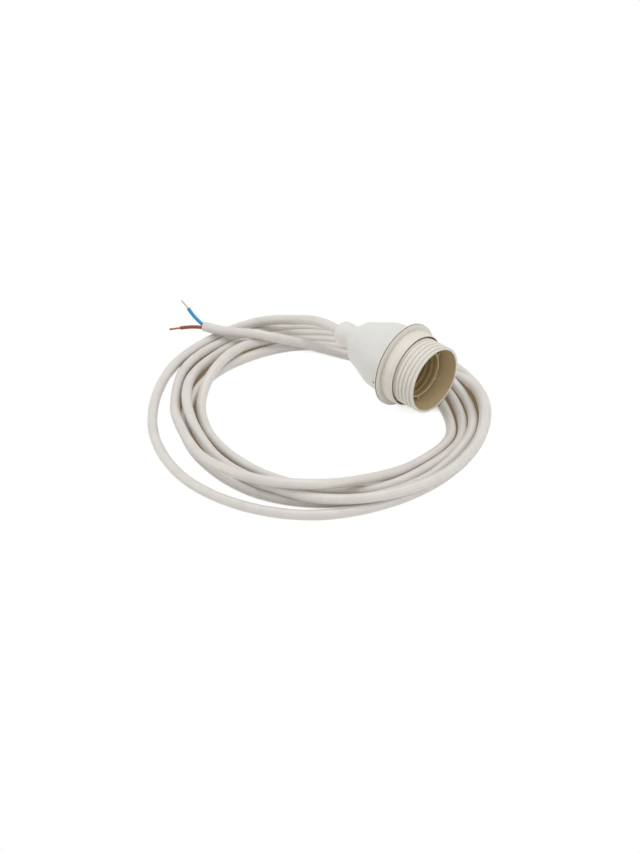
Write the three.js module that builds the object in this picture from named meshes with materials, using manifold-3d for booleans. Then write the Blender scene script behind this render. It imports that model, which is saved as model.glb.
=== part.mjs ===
// Pendant cord set: a screw lamp holder lying on its side, its shade ring, and its round flex
// laid in a loose coil with a stripped bare end. Millimetres, +Z up.
// The holder's axis lies along X at the height of the ring's flange radius, the mouth faces +X,
// and the origin is on the surface below the middle of the holder.
import * as THREE from 'three';
import { mergeVertices } from 'three/addons/utils/BufferGeometryUtils.js';
import Module from 'manifold-3d';

const wasm = await Module();
wasm.setup();

// Clearances
const SEAT_GAP = 0.3;              // between two pieces that touch
const ROUND_SEGMENTS = 40;         // sides of the large turned pieces
const SMALL_SEGMENTS = 16;         // sides of rivets, screws and bores

// Holder: lengths are measured back from the mouth along the axis
const HOLDER_LENGTH = 71.5;
const MOUTH_X = HOLDER_LENGTH / 2;

// Skirt: the barrel with the shade ring's thread on it
const THREAD_CREST_RADIUS = 20;
const THREAD_DEPTH = 0.8;
const THREAD_PITCH = 2.5;
const THREAD_RIDGES = 5;
const PLAIN_COLLAR = 4.2;          // unthreaded length behind the mouth
const LIP_ROUND = 0.4;
const MOUTH_WALL = 1.5;
const MOUTH_BORE_RADIUS = THREAD_CREST_RADIUS - MOUTH_WALL;
const MOUTH_BORE_DEPTH = 9;
const BARREL_WALL = 1.3;
const BARREL_ROOT_RADIUS = THREAD_CREST_RADIUS - THREAD_DEPTH;
const BARREL_INNER_RADIUS = BARREL_ROOT_RADIUS - BARREL_WALL;
const BARREL_LENGTH = 31;
const LEDGE_HEIGHT = 0.9;          // inner ledge that the sleeve's web comes to rest on
const LEDGE_LENGTH = 1.2;
const LEDGE_RADIUS = BARREL_INNER_RADIUS - LEDGE_HEIGHT;

// Screw sleeve: the tube that the lamp's cap screws into, with a web at its back
const SLEEVE_BORE_RADIUS = 13.2;
const SLEEVE_WALL = 1.2;
const SLEEVE_OUTER_RADIUS = SLEEVE_BORE_RADIUS + SLEEVE_WALL;
const SLEEVE_RECESS = 9;           // sleeve lip behind the mouth
const WEB_THICKNESS = 2;
const WEB_FRONT = BARREL_LENGTH - WEB_THICKNESS;
const WEB_RADIUS = BARREL_INNER_RADIUS - SEAT_GAP;
const WEB_STANDOFF = 3;            // from the web to the contact carrier
const SLEEVE_END = BARREL_LENGTH + WEB_STANDOFF;
const RIB_COUNT = 6;
const RIB_START_ANGLE = 50;        // degrees about the axis, from straight up
const RIB_THICKNESS = 1.2;
const RIB_SETBACK = 1.5;           // ribs start this far behind the sleeve's lip
const RIB_OUTER_RADIUS = LEDGE_RADIUS - SEAT_GAP;
const JOIN_OVERLAP = 0.3;          // how far a rib or boss runs into the wall that it joins

// Shade ring: threaded band with a thin flange at its back
const RING_LENGTH = 10.3;
const RING_WALL = 1.6;
const RING_BORE_RADIUS = THREAD_CREST_RADIUS + SEAT_GAP;
const RING_BAND_RADIUS = RING_BORE_RADIUS + RING_WALL;
const RING_GROOVE_DEPTH = 0.6;
const RING_GROOVE_WIDTH = 0.8;
const FLANGE_HEIGHT = 3.1;         // above the band
const FLANGE_RADIUS = RING_BAND_RADIUS + FLANGE_HEIGHT;
const FLANGE_THICKNESS = 1.5;
const FLANGE_BACK = 23.6;
const FLANGE_RECESS = 0.4;         // step that the dome's rim drops into
const RING_FRONT = FLANGE_BACK - RING_LENGTH;
const AXIS_HEIGHT = FLANGE_RADIUS; // the flange is what the holder rests on

// Cord and its grip
const CORD_DIAMETER = 5.7;
const CORD_RADIUS = CORD_DIAMETER / 2;
const CORD_SIDES = 10;
const GRIP_NUT_LENGTH = 9.2;
const GRIP_NUT_RADIUS = 6.9;
const GRIP_NUT_CHAMFER = 0.6;
const GRIP_BORE_RADIUS = CORD_RADIUS + SEAT_GAP;
const COLLET_WALL = 1.15;
const COLLET_RADIUS = GRIP_BORE_RADIUS + COLLET_WALL;
const COLLET_LENGTH = 5;
const COLLET_SLOT_WIDTH = 0.8;

// Dome: the cover over the terminals
const DOME_WALL = 1.8;
const DOME_RIM_WALL = 1.8;
const DOME_FRONT = FLANGE_BACK - FLANGE_RECESS + SEAT_GAP;
const DOME_FRONT_RADIUS = BARREL_ROOT_RADIUS + SEAT_GAP + DOME_RIM_WALL;
const DOME_SIDE_TAPER = 1.7;
const DOME_SHOULDER = SLEEVE_END + 4; // where the side turns in towards the neck
const DOME_SHOULDER_RADIUS = DOME_FRONT_RADIUS - DOME_SIDE_TAPER;
const DOME_NECK = HOLDER_LENGTH - GRIP_NUT_LENGTH - SEAT_GAP;
const DOME_NECK_RADIUS = 6.5;
const DOME_NECK_WEB = 3.5;         // solid length round the grip's bore
const WALL_SHIFT = 0.9;            // the inside of the slope sits this much further forward
// Slope from the shoulder to the neck: share of the way, share of the radius still standing
const DOME_SLOPE = [[0.17, 0.9], [0.33, 0.75], [0.5, 0.64], [0.67, 0.5], [0.83, 0.27], [0.94, 0.1]];
const LATCH_SLOT_WIDTH = 2.6;
const LATCH_SLOT_LENGTH = 1.3;
const LATCH_SLOT_SETBACK = 4;
const LATCH_SLOT_ANGLES = [102, 282]; // degrees about the axis, from straight up
const CORD_INSIDE = 7;             // the sheath starts this far inside the dome's neck
const CORD_START = DOME_NECK - CORD_INSIDE;

// Contact carrier and its brass parts
const CARRIER_RADIUS = DOME_SHOULDER_RADIUS - DOME_WALL - 2 * SEAT_GAP;
const CARRIER_FRONT = SLEEVE_END + SEAT_GAP;
const CARRIER_THICKNESS = 3.2;
const CARRIER_BACK = CARRIER_FRONT + CARRIER_THICKNESS;
const CARRIER_SCREW_EDGE = 1.7;    // from the carrier's edge to the middle of its screws
const CARRIER_SCREW_CIRCLE = CARRIER_RADIUS - CARRIER_SCREW_EDGE;
const CARRIER_SCREW_RADIUS = 0.9;
const CARRIER_SCREW_HEAD_RADIUS = 1.5;
const CARRIER_SCREW_HEAD_LENGTH = 1.4;
const CARRIER_BOSS_RADIUS = 1.9;
const CONTACT_THICKNESS = 0.6;
const CONTACT_WIDTH = 5;
const CENTRE_CONTACT_REACH = 4.5;  // how far its tip stands off the carrier
const CENTRE_CONTACT_LENGTH = 12;
const SIDE_CONTACT_LENGTH = 9;
const SIDE_CONTACT_WIDTH = 4;
const SIDE_CONTACT_FOOT = 8;
const TERMINAL_OFFSET = 7.5;       // terminals to each side of the axis
const TERMINAL_WIDTH = 6;
const TERMINAL_LENGTH = 8;
const TERMINAL_HEIGHT = 7;
const WIRE_HOLE_RADIUS = 1.2;
const WIRE_HOLE_DEPTH = 5;
const TERMINAL_SCREW_RADIUS = 2;
const TERMINAL_SCREW_LENGTH = 2.4;
const RIVET_RADIUS = 1.1;
const RIVET_HEAD_RADIUS = 2;
const RIVET_HEAD_LENGTH = 0.9;

// Cores and their stripped copper
const CORE_RADIUS = 1.05;
const COPPER_RADIUS = 0.55;
const CORE_SIDES = 8;
const CORE_SPACING = 2.6;          // between the two cores where the sheath ends
const STRIPPED_LENGTH = 6.8;
const INNER_STRIPPED_LENGTH = 4.5;

// Finishes
const COOL_WHITE = new THREE.Color(0xe9ebe9);
const WARM_IVORY = new THREE.Color(0xe6dfcb);
const CORD_IVORY = new THREE.Color(0xe2dccb);
const BRASS = new THREE.Color(0xb8924a);
const STEEL = new THREE.Color(0xb9bcbe);
const BLUE = new THREE.Color(0x1f6fb2);
const BROWN = new THREE.Color(0x8a4a2b);
const COPPER = new THREE.Color(0xb8744a);
const PALE_COPPER = new THREE.Color(0xcdb49a);
const INSULATOR = new THREE.Color(0xd9d2bd);

const set = new THREE.Group();

function finish(color, roughness, metalness = 0) {
  return new THREE.MeshStandardMaterial({ color, roughness, metalness });
}

function add(name, geometry, material) {
  const mesh = new THREE.Mesh(geometry, material);
  mesh.name = name;
  set.add(mesh);
  return mesh;
}

function toSolid(geometry) {
  const bare = geometry.clone();
  for (const attribute of Object.keys(bare.attributes)) {
    if (attribute !== 'position') bare.deleteAttribute(attribute);
  }
  const merged = mergeVertices(bare, 1e-4);
  return new wasm.Manifold(new wasm.Mesh({
    numProp: 3,
    vertProperties: new Float32Array(merged.attributes.position.array),
    triVerts: new Uint32Array(merged.index.array),
  }));
}

function toGeometry(solid) {
  const mesh = solid.getMesh();
  const geometry = new THREE.BufferGeometry();
  geometry.setAttribute('position', new THREE.BufferAttribute(mesh.vertProperties, 3));
  geometry.setIndex(new THREE.BufferAttribute(mesh.triVerts, 1));
  return geometry;
}

function cut(geometry, cutters) {
  return toGeometry(cutters.reduce((solid, cutter) => solid.subtract(toSolid(cutter)), toSolid(geometry)));
}

function join(geometry, pieces) {
  return toGeometry(pieces.reduce((solid, piece) => solid.add(toSolid(piece)), toSolid(geometry)));
}

// A turned piece: its outline lists [distance behind the mouth, radius] from the inside of its
// front, over the outside and back through the bore
function turned(outline, segments = ROUND_SEGMENTS) {
  const points = outline.map(([back, radius]) => new THREE.Vector2(radius, MOUTH_X - back)).reverse();
  const solidCore = outline[0][1] === 0;
  if (!solidCore) points.push(points[0].clone());
  const geometry = new THREE.LatheGeometry(points, segments);
  geometry.rotateZ(-Math.PI / 2);
  geometry.translate(0, 0, AXIS_HEIGHT);
  return geometry;
}

// A round pin along X, from one distance behind the mouth to a deeper one
function pinAlongAxis(front, back, radius, y, z) {
  const pin = new THREE.CylinderGeometry(radius, radius, back - front, SMALL_SEGMENTS);
  pin.rotateZ(Math.PI / 2);
  pin.translate(MOUTH_X - (front + back) / 2, y, AXIS_HEIGHT + z);
  return pin;
}

// A box between two distances behind the mouth, turned about the holder's axis from straight up
function blockOnAxis(front, back, inner, outer, width, degrees) {
  const block = new THREE.BoxGeometry(back - front, width, outer - inner);
  block.translate(MOUTH_X - (front + back) / 2, 0, (inner + outer) / 2);
  block.rotateX(THREE.MathUtils.degToRad(degrees));
  block.translate(0, 0, AXIS_HEIGHT);
  return block;
}

// A strip of sheet: its centre line in the XZ plane is thickened and given a width along Y
function strip(centreLine, thickness, width) {
  const side = (sign) => centreLine.map((point, i) => {
    const before = centreLine[Math.max(i - 1, 0)];
    const after = centreLine[Math.min(i + 1, centreLine.length - 1)];
    const along = new THREE.Vector2().subVectors(after, before).normalize();
    return new THREE.Vector2(-along.y, along.x).multiplyScalar(sign * thickness / 2).add(point);
  });
  const shape = new THREE.Shape([...side(1), ...side(-1).reverse()]);
  const geometry = new THREE.ExtrudeGeometry(shape, { depth: width, bevelEnabled: false });
  geometry.translate(0, 0, -width / 2);
  geometry.rotateX(Math.PI / 2);
  return geometry;
}

function discOutline(radius, sides) {
  const shape = new THREE.Shape();
  for (let i = 0; i < sides; i++) {
    const angle = 2 * Math.PI * i / sides;
    const x = radius * Math.cos(angle);
    const y = radius * Math.sin(angle);
    if (i === 0) shape.moveTo(x, y);
    else shape.lineTo(x, y);
  }
  shape.closePath();
  return shape;
}

// A route whose steps fall on its own points, so that turns lying side by side keep parallel facets
class StationCurve extends THREE.CatmullRomCurve3 {
  getPointAt(u, target) {
    return this.getPoint(u, target);
  }

  getTangentAt(u, target) {
    return this.getTangent(u, target);
  }

  getSpacedPoints(divisions) {
    return this.getPoints(divisions);
  }
}

function tube(points, radius, sides, steps) {
  return new THREE.ExtrudeGeometry(discOutline(radius, sides), {
    steps,
    bevelEnabled: false,
    extrudePath: new StationCurve(points, false, 'centripetal'),
  });
}

// Skirt
function threadedOutline() {
  const outline = [];
  for (let i = 0; i < THREAD_RIDGES; i++) {
    const start = PLAIN_COLLAR + i * THREAD_PITCH;
    outline.push(
      [start, BARREL_ROOT_RADIUS],
      [start + 0.3 * THREAD_PITCH, BARREL_ROOT_RADIUS],
      [start + 0.5 * THREAD_PITCH, THREAD_CREST_RADIUS],
      [start + 0.8 * THREAD_PITCH, THREAD_CREST_RADIUS],
    );
  }
  return outline;
}

function makeSkirt() {
  const ledgeBack = WEB_FRONT - SEAT_GAP;
  add('skirt', turned([
    [0, MOUTH_BORE_RADIUS],
    [0, THREAD_CREST_RADIUS - LIP_ROUND],
    [LIP_ROUND, THREAD_CREST_RADIUS],
    [PLAIN_COLLAR - THREAD_DEPTH / 2, THREAD_CREST_RADIUS],
    ...threadedOutline(),
    [PLAIN_COLLAR + THREAD_RIDGES * THREAD_PITCH, BARREL_ROOT_RADIUS],
    [BARREL_LENGTH, BARREL_ROOT_RADIUS],
    [BARREL_LENGTH, BARREL_INNER_RADIUS],
    [ledgeBack, BARREL_INNER_RADIUS],
    [ledgeBack, LEDGE_RADIUS],
    [ledgeBack - LEDGE_LENGTH, LEDGE_RADIUS],
    [ledgeBack - LEDGE_LENGTH, BARREL_INNER_RADIUS],
    [MOUTH_BORE_DEPTH + 0.5, BARREL_INNER_RADIUS],
    [MOUTH_BORE_DEPTH, MOUTH_BORE_RADIUS - 0.1],
  ]), finish(WARM_IVORY, 0.45));
}

// Screw sleeve
function makeScrewSleeve() {
  const body = turned([
    [SLEEVE_RECESS, SLEEVE_BORE_RADIUS],
    [SLEEVE_RECESS, SLEEVE_OUTER_RADIUS],
    [WEB_FRONT, SLEEVE_OUTER_RADIUS],
    [WEB_FRONT, WEB_RADIUS],
    [BARREL_LENGTH, WEB_RADIUS],
    [BARREL_LENGTH, SLEEVE_OUTER_RADIUS],
    [SLEEVE_END, SLEEVE_OUTER_RADIUS],
    [SLEEVE_END, SLEEVE_BORE_RADIUS],
  ]);
  const ribs = [];
  for (let i = 0; i < RIB_COUNT; i++) {
    ribs.push(blockOnAxis(
      SLEEVE_RECESS + RIB_SETBACK, WEB_FRONT + JOIN_OVERLAP,
      SLEEVE_OUTER_RADIUS - JOIN_OVERLAP, RIB_OUTER_RADIUS,
      RIB_THICKNESS, RIB_START_ANGLE + 360 * i / RIB_COUNT,
    ));
  }
  const bosses = [1, -1].map((side) => pinAlongAxis(
    BARREL_LENGTH - JOIN_OVERLAP, SLEEVE_END, CARRIER_BOSS_RADIUS, 0, side * CARRIER_SCREW_CIRCLE));
  const holes = [1, -1].map((side) => pinAlongAxis(
    WEB_FRONT + 0.6, SLEEVE_END + 1, CARRIER_SCREW_RADIUS + SEAT_GAP, 0, side * CARRIER_SCREW_CIRCLE));
  add('screw_sleeve', cut(join(body, [...ribs, ...bosses]), holes), finish(WARM_IVORY, 0.45));
}

// Shade ring
function makeShadeRing() {
  const flangeFront = FLANGE_BACK - FLANGE_THICKNESS;
  const grooveFront = flangeFront - RING_GROOVE_WIDTH;
  const recessRadius = DOME_FRONT_RADIUS + SEAT_GAP;
  add('shade_ring', turned([
    [RING_FRONT, RING_BORE_RADIUS],
    [RING_FRONT, RING_BAND_RADIUS - LIP_ROUND],
    [RING_FRONT + LIP_ROUND, RING_BAND_RADIUS],
    [grooveFront, RING_BAND_RADIUS],
    [grooveFront, RING_BAND_RADIUS - RING_GROOVE_DEPTH],
    [flangeFront, RING_BAND_RADIUS - RING_GROOVE_DEPTH],
    [flangeFront, FLANGE_RADIUS - LIP_ROUND],
    [flangeFront + LIP_ROUND, FLANGE_RADIUS],
    [FLANGE_BACK - LIP_ROUND, FLANGE_RADIUS],
    [FLANGE_BACK, FLANGE_RADIUS - LIP_ROUND],
    [FLANGE_BACK, recessRadius],
    [FLANGE_BACK - FLANGE_RECESS, recessRadius],
    [FLANGE_BACK - FLANGE_RECESS, RING_BORE_RADIUS],
  ]), finish(WARM_IVORY, 0.45));
}

// Dome
function makeDome() {
  const neckFront = DOME_NECK - DOME_NECK_WEB;
  const gripBore = COLLET_RADIUS + SEAT_GAP;
  const slope = DOME_SLOPE.map(([way, standing]) => [
    THREE.MathUtils.lerp(DOME_SHOULDER, DOME_NECK, way),
    THREE.MathUtils.lerp(DOME_NECK_RADIUS, DOME_SHOULDER_RADIUS, standing),
  ]);
  const inner = slope
    .map(([back, radius]) => [back - WALL_SHIFT, radius - DOME_WALL])
    .filter(([back]) => back < neckFront)
    .reverse();
  const body = turned([
    [DOME_FRONT, BARREL_ROOT_RADIUS + SEAT_GAP],
    [DOME_FRONT, DOME_FRONT_RADIUS],
    [DOME_SHOULDER, DOME_SHOULDER_RADIUS],
    ...slope,
    [DOME_NECK, DOME_NECK_RADIUS],
    [DOME_NECK, gripBore],
    [neckFront, gripBore],
    ...inner,
    [DOME_SHOULDER - WALL_SHIFT, DOME_SHOULDER_RADIUS - DOME_WALL],
    [BARREL_LENGTH + SEAT_GAP, BARREL_ROOT_RADIUS + SEAT_GAP],
  ]);
  const slotFront = DOME_FRONT + LATCH_SLOT_SETBACK;
  const slots = LATCH_SLOT_ANGLES.map((degrees) => blockOnAxis(
    slotFront, slotFront + LATCH_SLOT_LENGTH,
    DOME_FRONT_RADIUS - 2 * DOME_WALL, DOME_FRONT_RADIUS + DOME_WALL,
    LATCH_SLOT_WIDTH, degrees,
  ));
  add('dome', cut(body, slots), finish(COOL_WHITE, 0.42));
}

// Cord grip
function makeCordGrip() {
  const nutFront = DOME_NECK + SEAT_GAP;
  add('cord_grip_nut', turned([
    [nutFront, GRIP_BORE_RADIUS],
    [nutFront, GRIP_NUT_RADIUS - GRIP_NUT_CHAMFER],
    [nutFront + GRIP_NUT_CHAMFER, GRIP_NUT_RADIUS],
    [HOLDER_LENGTH - GRIP_NUT_CHAMFER, GRIP_NUT_RADIUS],
    [HOLDER_LENGTH, GRIP_NUT_RADIUS - GRIP_NUT_CHAMFER],
    [HOLDER_LENGTH, GRIP_BORE_RADIUS],
  ], 2 * SMALL_SEGMENTS), finish(COOL_WHITE, 0.42));

  const colletFront = DOME_NECK - COLLET_LENGTH;
  const sleeve = turned([
    [colletFront, GRIP_BORE_RADIUS],
    [colletFront, COLLET_RADIUS],
    [DOME_NECK, COLLET_RADIUS],
    [DOME_NECK, GRIP_BORE_RADIUS],
  ], 2 * SMALL_SEGMENTS);
  const slots = [0, 120, 240].map((degrees) => blockOnAxis(
    colletFront - 1, DOME_NECK - COLLET_LENGTH / 3,
    GRIP_BORE_RADIUS - 1, COLLET_RADIUS + 1, COLLET_SLOT_WIDTH, degrees));
  add('cord_grip_collet', cut(sleeve, slots), finish(COOL_WHITE, 0.5));
}

// Contact carrier, contacts, terminals and fasteners
function makeCarrier() {
  const disc = turned([
    [CARRIER_FRONT, 0],
    [CARRIER_FRONT, CARRIER_RADIUS],
    [CARRIER_BACK, CARRIER_RADIUS],
    [CARRIER_BACK, 0],
  ]);
  const screwHoles = [1, -1].map((side) => pinAlongAxis(
    CARRIER_FRONT - 1, CARRIER_BACK + 1, CARRIER_SCREW_RADIUS + SEAT_GAP, 0, side * CARRIER_SCREW_CIRCLE));
  const rivetHoles = [1, -1].map((side) => pinAlongAxis(
    CARRIER_FRONT - 1, CARRIER_BACK + 1, RIVET_RADIUS + SEAT_GAP, side * TERMINAL_OFFSET, 0));
  add('contact_carrier', cut(disc, [...screwHoles, ...rivetHoles]), finish(INSULATOR, 0.55));
}

function makeContacts() {
  const faceX = MOUTH_X - CARRIER_FRONT + SEAT_GAP + CONTACT_THICKNESS / 2;
  const centre = strip([
    new THREE.Vector2(faceX, 0),
    new THREE.Vector2(faceX, CENTRE_CONTACT_LENGTH * 0.38),
    new THREE.Vector2(faceX + CENTRE_CONTACT_REACH, CENTRE_CONTACT_LENGTH * 0.62),
    new THREE.Vector2(faceX + CENTRE_CONTACT_REACH - 0.8, CENTRE_CONTACT_LENGTH),
  ], CONTACT_THICKNESS, CONTACT_WIDTH);
  centre.rotateX(Math.PI / 2);
  const rootInset = TERMINAL_OFFSET + RIVET_HEAD_RADIUS;
  centre.translate(0, rootInset, AXIS_HEIGHT);
  const centreHole = pinAlongAxis(
    CARRIER_FRONT - 3, CARRIER_FRONT + 1, RIVET_RADIUS + SEAT_GAP, TERMINAL_OFFSET, 0);
  add('centre_contact', cut(centre, [centreHole]), finish(BRASS, 0.3, 1));

  const wall = SLEEVE_BORE_RADIUS - SEAT_GAP - CONTACT_THICKNESS / 2;
  const side = strip([
    new THREE.Vector2(faceX, wall - SIDE_CONTACT_FOOT),
    new THREE.Vector2(faceX, wall - 0.6),
    new THREE.Vector2(faceX + SIDE_CONTACT_LENGTH * 0.6, wall - 1.4),
    new THREE.Vector2(faceX + SIDE_CONTACT_LENGTH, wall - 0.3),
  ], CONTACT_THICKNESS, SIDE_CONTACT_WIDTH);
  side.rotateX(Math.PI / 2);
  side.translate(0, 0, AXIS_HEIGHT);
  const sideHole = pinAlongAxis(
    CARRIER_FRONT - 3, CARRIER_FRONT + 1, RIVET_RADIUS + SEAT_GAP, -TERMINAL_OFFSET, 0);
  add('side_contact', cut(side, [sideHole]), finish(BRASS, 0.3, 1));
}

function makeRivet(name, side) {
  const front = CARRIER_FRONT - 2 * SEAT_GAP - CONTACT_THICKNESS;
  const head = pinAlongAxis(front - RIVET_HEAD_LENGTH, front, RIVET_HEAD_RADIUS, side * TERMINAL_OFFSET, 0);
  const shank = pinAlongAxis(front - 0.2, CARRIER_BACK, RIVET_RADIUS, side * TERMINAL_OFFSET, 0);
  add(name, join(head, [shank]), finish(BRASS, 0.35, 1));
}

function makeTerminal(name, screwName, side) {
  const front = CARRIER_BACK + SEAT_GAP;
  const block = new THREE.BoxGeometry(TERMINAL_LENGTH, TERMINAL_WIDTH, TERMINAL_HEIGHT);
  block.translate(MOUTH_X - front - TERMINAL_LENGTH / 2, side * TERMINAL_OFFSET, AXIS_HEIGHT);
  const wireHole = pinAlongAxis(
    front + TERMINAL_LENGTH - WIRE_HOLE_DEPTH, front + TERMINAL_LENGTH + 1,
    WIRE_HOLE_RADIUS, side * TERMINAL_OFFSET, 0);
  add(name, cut(block, [wireHole]), finish(BRASS, 0.3, 1));

  const screw = new THREE.CylinderGeometry(
    TERMINAL_SCREW_RADIUS, TERMINAL_SCREW_RADIUS, TERMINAL_SCREW_LENGTH, SMALL_SEGMENTS);
  screw.rotateX(Math.PI / 2);
  screw.translate(
    MOUTH_X - front - TERMINAL_LENGTH + WIRE_HOLE_DEPTH / 2,
    side * TERMINAL_OFFSET,
    AXIS_HEIGHT + TERMINAL_HEIGHT / 2 + SEAT_GAP + TERMINAL_SCREW_LENGTH / 2,
  );
  add(screwName, screw, finish(STEEL, 0.3, 1));
}

function makeCarrierScrew(name, side) {
  const headFront = CARRIER_BACK + SEAT_GAP;
  const z = side * CARRIER_SCREW_CIRCLE;
  const head = pinAlongAxis(
    headFront, headFront + CARRIER_SCREW_HEAD_LENGTH, CARRIER_SCREW_HEAD_RADIUS, 0, z);
  const shank = pinAlongAxis(BARREL_LENGTH - 1, headFront + 0.2, CARRIER_SCREW_RADIUS, 0, z);
  add(name, join(head, [shank]), finish(STEEL, 0.3, 1));
}

// Cord route: out of the neck, then five turns about the coil's centre, then the bare end.
// A turn's entries are [radius, height] at every STATION_ANGLE degrees, chosen by hand.
const COIL_CENTRE = new THREE.Vector2(-14, -44);
const STATION_ANGLE = 24;
const FIRST_STATION = 144;
const LAID = 2.9;                  // height of the cord's centre where it lies on the surface
const NECK_ROUTE = [
  [MOUTH_X - CORD_START, 0, AXIS_HEIGHT],
  [MOUTH_X - HOLDER_LENGTH, 0, AXIS_HEIGHT],
  [-50, 0, 24.4],
  [-62, 0, 20.8],
];
const DESCENT = [[144, 74.8, 15.1], [150, 81.6, 12], [157, 88.2, 8.3]];
const TURNS = [
  [null, [93.8, 3.7], [94.6, LAID], [93.3, LAID], [94.6, LAID], [96, LAID], [95.3, LAID], [94.4, LAID],
    [92.4, LAID], [92.8, LAID], [95, LAID], [96.3, LAID], [90.6, LAID], [80.2, LAID], [75.7, LAID]],
  [[77.5, LAID], [80.7, LAID], [80, LAID], [75, 8.9], [72.3, 8.6], [73, 6], [79, 8.9], [87.2, 8.9],
    [92.4, 8.9], [96, 8.8], [96.3, 9.3], [92.4, 8.9], [83.9, LAID], [73.7, LAID], [69.7, LAID]],
  [[71.4, LAID], [70.8, 8], [67.3, 9.4], [66.5, 4.6], [64.5, LAID], [63.6, LAID], [66, LAID], [71.5, LAID],
    [78.5, LAID], [80.5, LAID], [84.9, LAID], [79.3, LAID], [73.2, LAID], [67.4, LAID], [63.8, LAID]],
  [[65.2, LAID], [66.2, LAID], [69.6, LAID], [73.2, LAID], [77.5, LAID], [79.1, LAID], [82, LAID],
    [83.6, LAID], [84.6, LAID], [86.7, LAID], [90.1, 7], [86.2, 3.2], [78.2, 8.9], [84.2, 8.9],
    [81.5, LAID]],
  [[84.4, LAID], [87.3, LAID], [87.6, LAID], [81.7, LAID], [80, 9.2], [83.3, 11.7], [84.9, 14.9], [82.9, 15],
    [74.2, 7.5], [73.8, LAID], [78.6, LAID], [71.5, LAID], [66.7, LAID], [59, LAID], [57.8, 3.2]],
];
const BARE_END = [
  [144, 60.8, 8.9], [156, 65.6, 11.8], [163, 72.3, 12.8], [168, 80.2, 11.4], [171.3, 89, 10],
  [174.3, 100.4, 9.2],
];

function onCoil(degrees, radius, height) {
  const angle = THREE.MathUtils.degToRad(degrees);
  return new THREE.Vector3(
    COIL_CENTRE.x + radius * Math.cos(angle),
    COIL_CENTRE.y + radius * Math.sin(angle),
    height,
  );
}

function cordRoute() {
  const points = NECK_ROUTE.map(([x, y, z]) => new THREE.Vector3(x, y, z));
  for (const [degrees, radius, height] of DESCENT) points.push(onCoil(degrees, radius, height));
  for (const turn of TURNS) {
    turn.forEach((station, i) => {
      if (station) points.push(onCoil(FIRST_STATION + i * STATION_ANGLE, station[0], station[1]));
    });
  }
  for (const [degrees, radius, height] of BARE_END) points.push(onCoil(degrees, radius, height));
  return points;
}

function makeCord() {
  const route = cordRoute();
  add('cord', tube(route, CORD_RADIUS, CORD_SIDES, route.length - 1), finish(CORD_IVORY, 0.5));
  return route;
}

// Stripped end: each core leaves the sheath's end face and ends in its copper.
// Offsets are from the core's start on that face: away along the cord, to its left, and up.
const BLUE_TAIL = [[0, 0, 0], [1, 0, 0.1], [4.3, -0.1, 2], [8, -0.2, 5], [11.2, -0.2, 8.9]];
const BROWN_TAIL = [[0, 0, 0], [1.2, 0.3, 0], [5, 2.2, 0.3], [8.8, 4.1, 0.1], [12.2, 5.8, -0.4]];
const BLUE_COPPER_RUN = [4.6, -0.1, 4.3];
const BROWN_COPPER_RUN = [5.6, 3.3, -0.7];

function makeTail(name, copperName, route, lateral, offsets, copperRun, coreFinish, copperFinish) {
  const end = route[route.length - 1];
  const tangent = new THREE.Vector3().subVectors(end, route[route.length - 2]).normalize();
  const forward = tangent.clone().setZ(0).normalize();
  const left = new THREE.Vector3(-forward.y, forward.x, 0);
  const start = end.clone().addScaledVector(tangent, 1.5 * SEAT_GAP).addScaledVector(left, lateral);
  const place = ([along, side, up], from) => from.clone()
    .addScaledVector(forward, along).addScaledVector(left, side).add(new THREE.Vector3(0, 0, up));
  const core = offsets.map((offset) => place(offset, start));
  add(name, tube(core, CORE_RADIUS, CORE_SIDES, core.length - 1), finish(coreFinish, 0.45));
  const tip = core[core.length - 1];
  const run = place(copperRun, new THREE.Vector3()).normalize();
  const copperStart = tip.clone().addScaledVector(run, 1.5 * SEAT_GAP);
  const copperEnd = tip.clone().addScaledVector(run, STRIPPED_LENGTH);
  const copper = [copperStart, copperStart.clone().lerp(copperEnd, 0.5), copperEnd];
  add(copperName, tube(copper, COPPER_RADIUS, CORE_SIDES, copper.length - 1), finish(copperFinish, 0.35, 1));
}

// Inside the dome: each core runs from the sheath's start to its terminal
function makeInnerCore(name, copperName, side, coreFinish) {
  const sheathX = MOUTH_X - CORD_START;
  const blockBackX = MOUTH_X - CARRIER_BACK - SEAT_GAP - TERMINAL_LENGTH;
  const copperInX = blockBackX + INNER_STRIPPED_LENGTH - 1;
  const coreEndX = blockBackX - 1;
  const at = (x, y) => new THREE.Vector3(x, side * y, AXIS_HEIGHT);
  const core = [
    at(sheathX + SEAT_GAP, CORE_SPACING / 2),
    at(sheathX + 2.5, CORE_SPACING / 2 + 0.6),
    at(coreEndX - 2.5, TERMINAL_OFFSET - 0.6),
    at(coreEndX, TERMINAL_OFFSET),
  ];
  add(name, tube(core, CORE_RADIUS, CORE_SIDES, 2 * (core.length - 1)), finish(coreFinish, 0.45));
  const copper = [at(coreEndX + SEAT_GAP, TERMINAL_OFFSET), at(copperInX, TERMINAL_OFFSET)];
  add(copperName, tube(copper, COPPER_RADIUS, CORE_SIDES, 1), finish(COPPER, 0.35, 1));
}

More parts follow.
